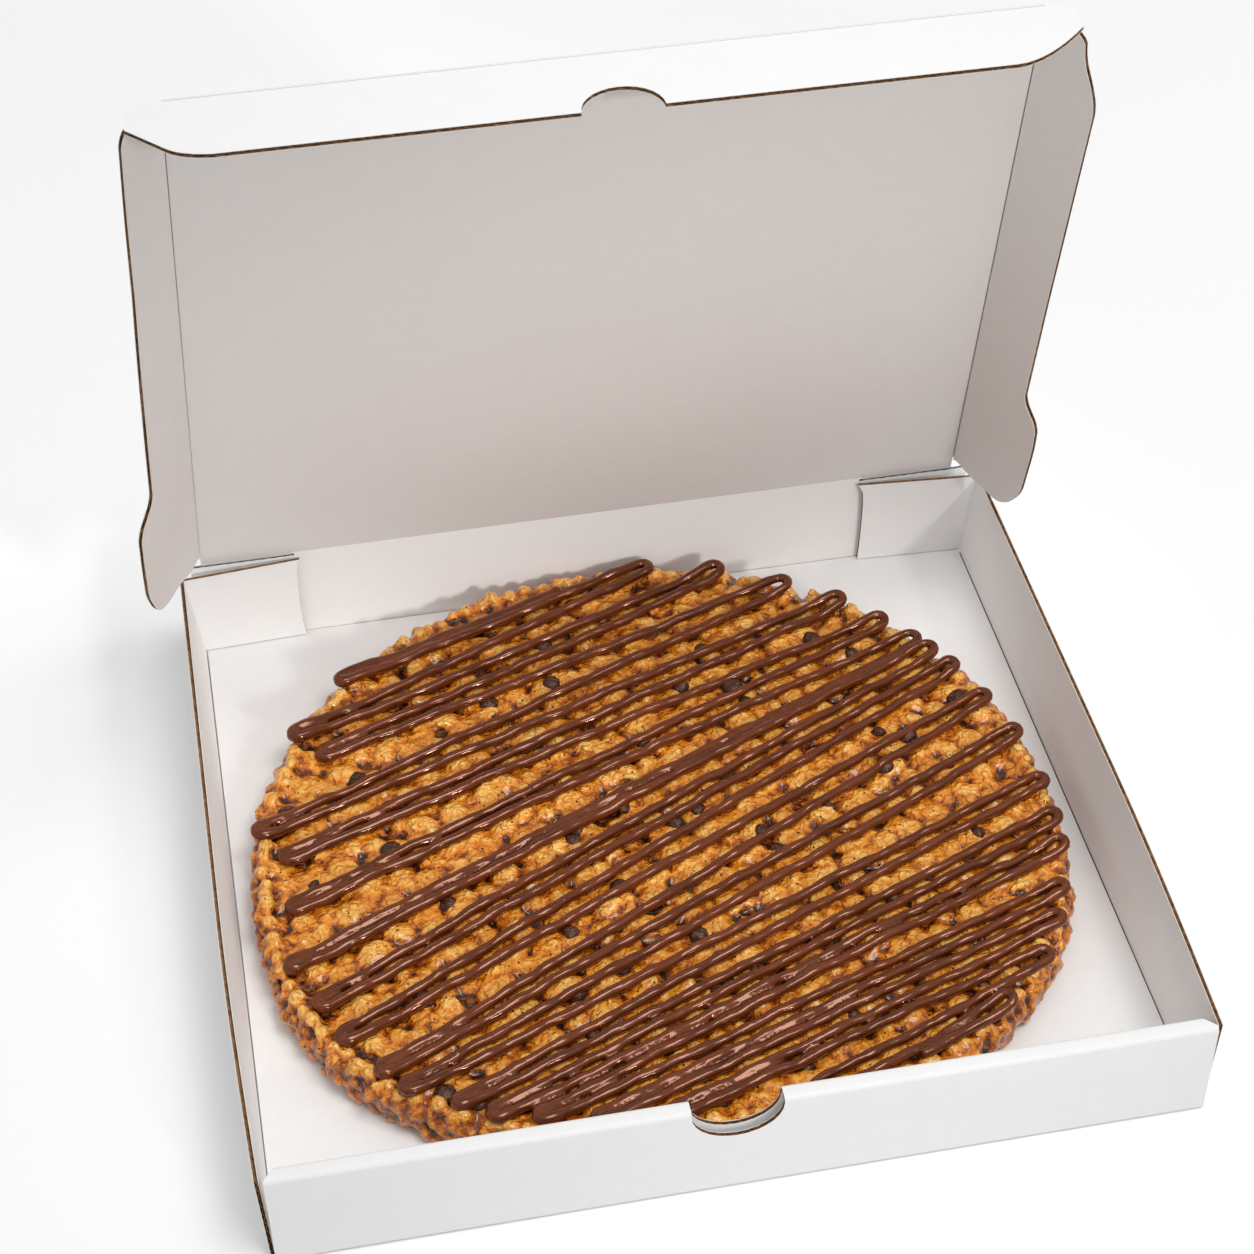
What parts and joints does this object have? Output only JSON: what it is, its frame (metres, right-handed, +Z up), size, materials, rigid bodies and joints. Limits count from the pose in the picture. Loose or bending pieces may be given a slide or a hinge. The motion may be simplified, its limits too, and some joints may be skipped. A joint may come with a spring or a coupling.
{
  "type": "giant cookie in an open box",
  "caption": "Giant round chocolate-drizzled cookie lying in a shallow corrugated-board box whose hinged lid stands open.",
  "frame": {"origin": "middle of the box's underside, on the table", "axes": "+Z up, +X to the right seen from the front, -Y towards the rolled front edge with the thumb notch"},
  "size_m": [0.3296, 0.2905, 0.3041],
  "materials": {
    "white_board": "matte",
    "board_inside": "matte",
    "baked_dough": "satin"
  },
  "bodies": {
    "tray": {"tray_floor": "white_board", "tray_wall_left": "white_board", "tray_wall_right": "white_board", "tray_wall_back": "board_inside", "corner_flap_left": "board_inside", "corner_flap_right": "board_inside", "front_board_outer": "white_board", "front_board_inner": "white_board", "front_ledge_left": "white_board", "front_ledge_right": "white_board", "cookie": "baked_dough"},
    "lid": {"lid_panel": "board_inside"},
    "flap_left": {"lid_flap_left": "board_inside"},
    "flap_right": {"lid_flap_right": "board_inside"},
    "flap_front": {"lid_flap_front": "white_board"}
  },
  "joints": [
    {"name": "lid_hinge", "type": "hinge", "parent": "tray", "child": "lid", "pos_m": [0, 0.1434, 0.042], "axis": [-1, 0, 0], "range_deg": [-68.5, 26]},
    {"name": "left_flap_crease", "type": "hinge", "parent": "lid", "child": "flap_left", "pos_m": [-0.1483, 0.1434, 0.042], "axis": [-0.0407, 0.3662, -0.9296], "range_deg": [-103, 39.5]},
    {"name": "right_flap_crease", "type": "hinge", "parent": "lid", "child": "flap_right", "pos_m": [0.1462, 0.1434, 0.042], "axis": [-0.0691, -0.3656, 0.9282], "range_deg": [-103, 39.5]},
    {"name": "front_flap_crease", "type": "hinge", "parent": "lid", "child": "flap_front", "pos_m": [0, 0.04078, 0.30252], "axis": [-1, 0, 0], "range_deg": [-19, 7.5]}
  ],
  "couplings": [
    {"joint": "left_flap_crease", "follows": "lid_hinge", "ratio": 1.5},
    {"joint": "right_flap_crease", "follows": "lid_hinge", "ratio": 1.5},
    {"joint": "front_flap_crease", "follows": "lid_hinge", "ratio": 0.27}
  ]
}
